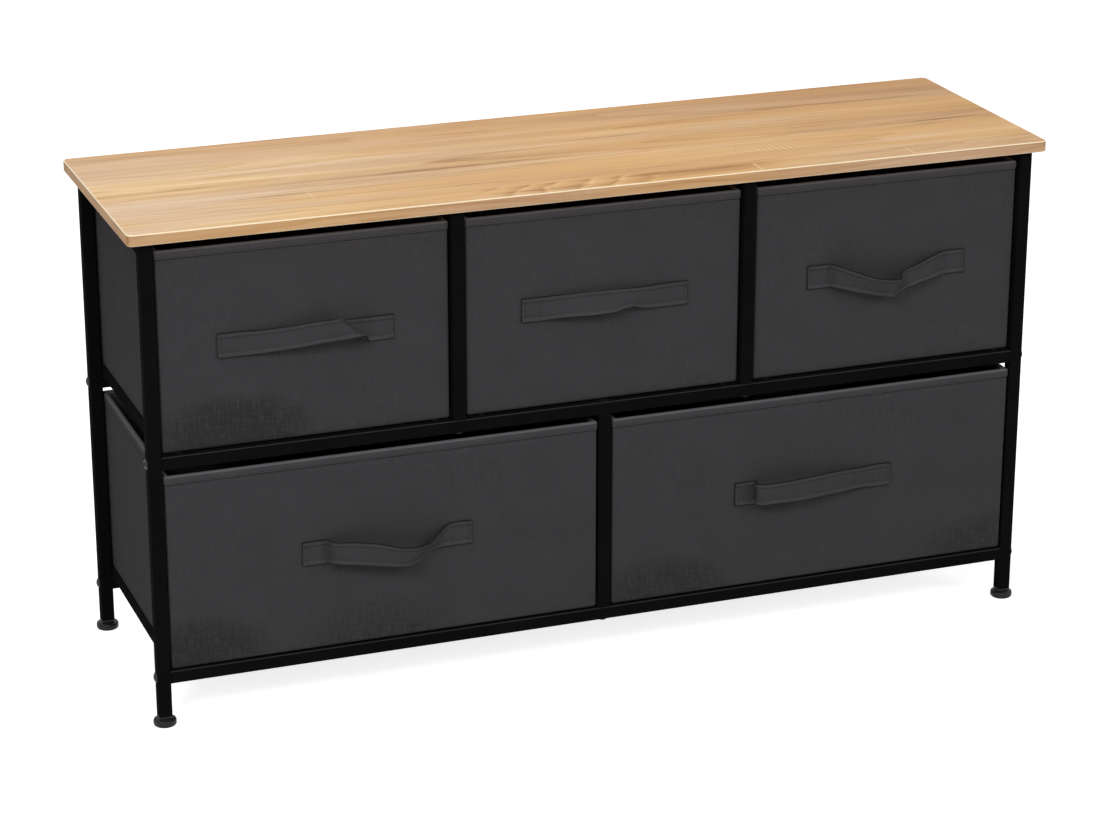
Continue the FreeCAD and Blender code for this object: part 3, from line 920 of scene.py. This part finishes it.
def cloth_walls(bag, material):
    """The bin: floor, rounded bottom edge, outer walls drawn in under the hem, rim and inner walls."""
    low, top = bag.low.z, bag.top
    rim = top - rim_drop
    hem_edge = top - hem_height
    groove = hem_edge - groove_width
    floor = low + floor_thickness
    outer = [(bottom_radius, low)]
    for i in range(1, bottom_steps):
        turn = math.pi / 2 * i / bottom_steps
        inset = bottom_radius * (1 - math.sin(turn))
        outer.append((inset, low + bottom_radius * (1 - math.cos(turn))))
    outer += [(0.0, z) for z in rises(low + bottom_radius, groove - pucker_reach)]
    outer += [(0.0, z) for z in rises(groove - pucker_reach, groove)[1:]]
    outer += [
        (0.5 * groove_depth, groove + 0.3 * groove_width),
        (groove_depth, hem_edge),
        (groove_depth, hem_edge + groove_width),
        (0.0, hem_edge + 2 * groove_width),
        (0.0, rim),
        (0.2 * wall_thickness, rim + rim_round),
    ]
    inner = [(0.8 * wall_thickness, rim + rim_round)]
    inner += [(wall_thickness, z) for z in reversed(rises(floor + bottom_radius, rim))]
    inner += [(wall_thickness + inset, floor + rise) for inset, rise in floor_bend]
    rings = [bag.ring(inset, z) for inset, z in outer]
    rings += [bag.ring(inset, z, False) for inset, z in inner]
    surface = Surface()
    surface.tube(rings, bag.girth, lengths_along([ring[0] for ring in rings]))
    surface.piece(bag.body + "_cloth", material, bag.body, [bag.body + "_bin"])


def hem_band(bag, material):
    """The binding folded over the rim, sewn through both sides of the wall."""
    outer = [(-out, bag.top - hem_height + up) for out, up in hem_foot]
    outer += [(-out, bag.top - down) for out, down in hem_fold]
    rings = [bag.ring(inset, z) for inset, z in outer]
    rings += [bag.ring(wall_thickness - inset, z, False) for inset, z in reversed(outer[:-1])]
    along = lengths_along([ring[0] for ring in rings + rings[:1]])
    surface = Surface()
    surface.rows(rings, bag.girth, along, closed=True, looped=True)
    surface.piece(bag.body + "_binding", material, bag.body, [bag.body + "_hem"])


def stitch(surface, start, end, normal):
    """One stitch of thread: a thin bow whose ends sink into the cloth."""
    heading = (end - start).normalized()
    aside = heading.cross(normal).normalized()
    turns = [math.tau * k / stitch_sides for k in range(stitch_sides)]
    ways = [aside * math.cos(turn) + normal * math.sin(turn) for turn in turns]
    rings = []
    for share, thickness, lift in stitch_bow_shares:
        middle = start.lerp(end, share) + normal * (lift * stitch_radius)
        rings.append([middle + way * (thickness * stitch_radius) for way in ways])
    surface.tube(rings)


def stitch_line(surface, points, normals):
    """Even stitches along a line of points on the cloth."""
    total = lengths_along(points)
    count = max(round(total[-1] / stitch_pitch), 1)
    pitch = total[-1] / count
    span = min(stitch_length, stitch_fill_share * pitch)

    def at(length):
        k = 0
        while k < len(total) - 2 and total[k + 1] < length:
            k += 1
        share = (length - total[k]) / max(total[k + 1] - total[k], tiny)
        normal = normals[k].lerp(normals[k + 1], share).normalized()
        return points[k].lerp(points[k + 1], share), normal

    for i in range(count):
        middle = (i + 0.5) * pitch
        start, normal = at(middle - span / 2)
        end, _ = at(middle + span / 2)
        stitch(surface, start, end, normal)


def bin_seams(bag, seams):
    """Thread round the hem, outside and inside."""
    z = bag.top - hem_height + hem_stitch_height
    round_trip = bag.spots + bag.spots[:1]
    outside = [bag.point(spot, -hem_proud + stitch_sink, z) for spot in round_trip]
    stitch_line(seams, outside, [spot[1] for spot in round_trip])
    inset = wall_thickness + hem_proud - stitch_sink
    inside = [bag.point(spot, inset, z, False) for spot in round_trip]
    stitch_line(seams, inside, [-spot[1] for spot in round_trip])


def line_through(points, counts):
    """A smooth line through given points, with so many steps in each span."""
    spans = [max((b - a).length, tiny) for a, b in zip(points, points[1:])]
    slopes = [(b - a) / span for a, b, span in zip(points, points[1:], spans)]
    leans = [slopes[0]]
    for i in range(1, len(spans)):
        leans.append((slopes[i - 1] * spans[i] + slopes[i] * spans[i - 1]) / (spans[i] + spans[i - 1]))
    leans.append(slopes[-1])
    line = []
    for i, count in enumerate(counts):
        for k in range(count):
            t = k / count
            leaving = leans[i] * spans[i] * (t ** 3 - 2 * t ** 2 + t)
            arriving = leans[i + 1] * spans[i] * (t ** 3 - t ** 2)
            start = points[i] * (2 * t ** 3 - 3 * t ** 2 + 1)
            end = points[i + 1] * (3 * t ** 2 - 2 * t ** 3)
            line.append(start + end + (leaving + arriving))
    return line + [points[-1]]


def strap_section():
    """Shares across a strap, round it from its lower edge, and the lift of its faces there."""
    half = [(share, lift * strap_edge_thickness) for share, lift in strap_edge_shares]
    half += [(share, lift * strap_middle_thickness) for share, lift in strap_flat_shares]
    front = [(-share, lift) for share, lift in half] + [(0.0, strap_middle_thickness)]
    back = strap_back_shares + [-share for share in reversed(strap_back_shares)]
    return front + half[::-1] + [(share, -strap_back_thickness) for share in back]


def strap_lines(form):
    """Smooth lines along a strap's top edge, bottom edge and belly, all with the same steps."""
    tops = [Vector(top) * mm for top, _, _ in form]
    bottoms = [Vector(bottom) * mm for _, bottom, _ in form]
    bellies = [Vector((belly, 0, 0)) * mm for _, _, belly in form]
    counts = []
    for i in range(len(form) - 1):
        span = max((tops[i + 1] - tops[i]).length, (bottoms[i + 1] - bottoms[i]).length)
        counts.append(max(math.ceil(span / strap_step), strap_least_steps))
    return [line_through(points, counts) for points in (tops, bottoms, bellies)]


def strap_sheet(bag, section):
    """Rows of points through a strap's middle, on top of the cloth where it is sewn down."""
    low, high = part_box(bag.body + "_handle")
    middle = (low.z + high.z) / 2
    rows = []
    for top, bottom, belly in zip(*strap_lines(strap_forms[bag.body])):
        row = []
        for share, _ in section:
            spot = bottom.lerp(top, share + 0.5)
            crease = noise.noise(Vector((spot.x / crease_length, creases_across * share, bag.seed)))
            slack = min(max(spot.y, 0) / slack_reach, 1)
            bulge = belly.x * (1 - 4 * share ** 2) + crease_depth * crease * slack
            x = low.x + spot.x
            z = middle + spot.z
            relief = bag.relief(0, x - bag.corners[0].x, z)
            out = max(spot.y, 0) + strap_back_thickness + relief + bulge
            row.append(Vector((x, bag.low.y - out, z)))
        rows.append(row)
    return rows


def strap(bag, material, seams):
    """A strap handle: its bowed and folded tape, and its thread in the drawer's seams."""
    section = strap_section()
    sheet = strap_sheet(bag, section)
    last = len(sheet) - 1
    rows, fronts = [], []
    for i, row in enumerate(sheet):
        across = (row[len(section) // 2] - row[0]).normalized()
        normals = []
        for before, after in zip(sheet[max(i - 1, 0)], sheet[min(i + 1, last)]):
            normals.append((after - before).cross(across).normalized())
        rows.append([point + normal * lift for point, normal, (_, lift) in zip(row, normals, section)])
        fronts.append(normals)
    width = [share * strap_width for share, _ in section + section[:1]]
    surface = Surface()
    surface.tube(rows, width, lengths_along([row[0] for row in rows]))
    surface.piece(bag.body + "_strap", material, bag.body, [bag.body + "_handle"])
    strap_seams(seams, section, rows, fronts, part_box(bag.body + "_handle")[0].x)


def strap_seams(seams, section, rows, fronts, left):
    """Thread along a strap's two folded edges, and across it at both sides of each sewn end."""
    for j, (share, lift) in enumerate(section):
        if abs(share) == strap_seam_share and lift > 0:
            stitch_line(seams, [row[j] for row in rows], [row[j] for row in fronts])
    for inset in (box_stitch_inset, sewn_length - box_stitch_inset):
        for place in (inset, strap_length - inset):
            nearest = min(rows, key=lambda row: abs(row[0].x - left - place))
            line = [point for point, (_, lift) in zip(nearest, section) if lift > box_stitch_lift]
            stitch_line(seams, line, [Vector((0, -1, 0))] * len(line))


def bolt_seats():
    """Where each domed bolt sits and the way its shank points, from the tubes that it joins."""
    seats = []
    for face in ("front", "back"):
        for level, posts in (("middle", ("upper_left", "upper_right")), ("bottom", ("lower",))):
            low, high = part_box(f"rail_{face}_{level}")
            middle = (low + high) / 2
            for side, way in (("left", 1), ("right", -1)):
                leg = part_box(f"leg_{face}_{side}")
                x = leg[0].x if way > 0 else leg[1].x
                seats.append((Vector((x, middle.y, middle.z)), Vector((way, 0, 0))))
            for post in posts:
                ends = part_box(f"post_{face}_{post}")
                x = (ends[0].x + ends[1].x) / 2
                seats.append((Vector((x, middle.y, low.z)), Vector((0, 0, 1))))
    return seats


def bolt(surface, seat, way):
    """One bolt: hexagon socket, dome, rim and shank, in rings from the socket's floor outwards."""
    aside = way.orthogonal().normalized()
    other = way.cross(aside)
    rise = bolt_head_height - bolt_head_rim
    sphere = (bolt_head_radius ** 2 + rise ** 2) / (2 * rise)

    def dome(radius):
        return bolt_head_height - sphere + math.sqrt(sphere ** 2 - radius ** 2)

    mouth = dome(socket_corner_share * socket_radius)
    profile = [
        (socket_radius, bolt_head_height - socket_depth, True),
        (socket_radius, mouth - bolt_bevel, True),
        (socket_mouth_share * socket_radius, mouth, True),
    ]
    for share in dome_shares:
        profile.append((share * bolt_head_radius, dome(share * bolt_head_radius), False))
    profile += [
        (bolt_head_radius, dome(bolt_head_radius) - 0.5 * bolt_bevel, False),
        (bolt_head_radius, bolt_bevel, False),
        (bolt_head_radius - bolt_bevel, 0.0, False),
        (bolt_radius, 0.0, False),
        (bolt_radius, -bolt_length, False),
    ]
    rings = []
    for radius, height, has_corners in profile:
        ring = []
        for k in range(bolt_sides):
            turn = math.tau * k / bolt_sides
            reach = radius
            if has_corners:
                reach = radius / math.cos((turn + math.pi / 6) % (math.pi / 3) - math.pi / 6)
            heading = aside * math.cos(turn) + other * math.sin(turn)
            ring.append(seat - way * height + heading * reach)
        rings.append(ring)
    surface.tube(rings)


def fit_bolts(material):
    surface = Surface()
    for seat, way in bolt_seats():
        bolt(surface, seat, way)
    surface.piece("socket_bolts", material, "frame", ["frame_bolts"], bolt_crease)


def dress_drawers():
    cloth = cloth_paint("drawer_cloth")
    binding = cloth_paint("hem_binding", hem_painted_highlight)
    tape = cloth_paint("strap_tape", strap_painted_light)
    thread = thread_paint()
    for number, body in enumerate(drawers):
        bag = Bin(body, drawer_seed * number)
        cloth_walls(bag, cloth)
        hem_band(bag, binding)
        seams = Surface()
        bin_seams(bag, seams)
        strap(bag, tape, seams)
        seams.piece(body + "_stitching", thread, body)


def paint_nodes():
    """Gives every shown node of the frame its finish."""
    paints = {"wood_top": wood_paint(), "zinc_steel": zinc_paint(), "fibre_board": board_paint()}
    for name, coat in coats.items():
        paints[name] = coat_paint(name, *coat)
    for part in frame["record"]["subparts"]:
        paint = paints.get(part["material_slot"])
        if paint:
            frame["nodes"][part["node"]].data.materials[0] = paint
    fit_bolts(paints["bolt_steel"])


def ray_share(tree):
    """1 for rays that show the surroundings as a picture: camera, glossy and transmission rays."""
    rays = tree.nodes.new("ShaderNodeLightPath")
    share = rays.outputs["Is Camera Ray"]
    for name in ("Is Glossy Ray", "Is Transmission Ray"):
        larger = tree.nodes.new("ShaderNodeMath")
        larger.operation = "MAXIMUM"
        tree.links.new(share, larger.inputs[0])
        tree.links.new(rays.outputs[name], larger.inputs[1])
        share = larger.outputs[0]
    return share


def lay_floor():
    """A wide pale floor that shows white and keeps the dresser's soft shadow."""
    half = floor_size / 2
    corners = [(-half, -half, 0), (half, -half, 0), (half, half, 0), (-half, half, 0)]
    mesh = bpy.data.meshes.new("floor")
    mesh.from_pydata(corners, [], [(0, 1, 2, 3)])
    floor = bpy.data.objects.new("floor", mesh)
    bpy.context.scene.collection.objects.link(floor)
    paint = Paint("pale_floor", 0.9, 0.0)
    paint.set("Base Color", floor_colour)
    paint.set("Emission Color", (1, 1, 1))
    paint.set("Emission Strength", paint.times(ray_share(paint.tree), floor_glow))
    mesh.materials.append(paint.material)


def light_world():
    """Even white surroundings: soft light on the dresser, plain white behind it."""
    world = bpy.data.worlds.new("studio")
    bpy.context.scene.world = world
    world.use_nodes = True
    tree = world.node_tree
    light = tree.nodes["Background"]
    light.inputs["Color"].default_value = (1, 1, 1, 1)
    level = tree.nodes.new("ShaderNodeMix")
    tree.links.new(ray_share(tree), level.inputs[0])
    level.inputs[2].default_value = world_light
    level.inputs[3].default_value = 1.0
    tree.links.new(level.outputs[0], light.inputs["Strength"])


def stand(name, data, place, heading):
    """A lamp or camera at a place, looking along a heading."""
    obj = bpy.data.objects.new(name, data)
    obj.location = place
    obj.rotation_mode = "QUATERNION"
    obj.rotation_quaternion = heading.to_track_quat("-Z", "Y")
    bpy.context.scene.collection.objects.link(obj)
    return obj


def area_light(name, place, target, width, depth, watts):
    data = bpy.data.lights.new(name, "AREA")
    data.shape = "RECTANGLE"
    data.size = width
    data.size_y = depth
    data.energy = watts
    stand(name, data, place, Vector(target) - Vector(place))


def place_camera():
    data = bpy.data.cameras.new("photo_camera")
    data.sensor_width = camera_film
    data.lens = camera_lens
    level = math.cos(camera_pitch)
    across = math.sin(camera_yaw) * level
    ahead = math.cos(camera_yaw) * level
    heading = Vector((across, ahead, -math.sin(camera_pitch)))
    bpy.context.scene.camera = stand("photo_camera", data, camera_place, heading)


bpy.context.scene.view_settings.view_transform = "Standard"
dress_drawers()
paint_nodes()
lay_floor()
light_world()
for lamp_name, lamp in lamps.items():
    area_light(lamp_name, *lamp)
place_camera()
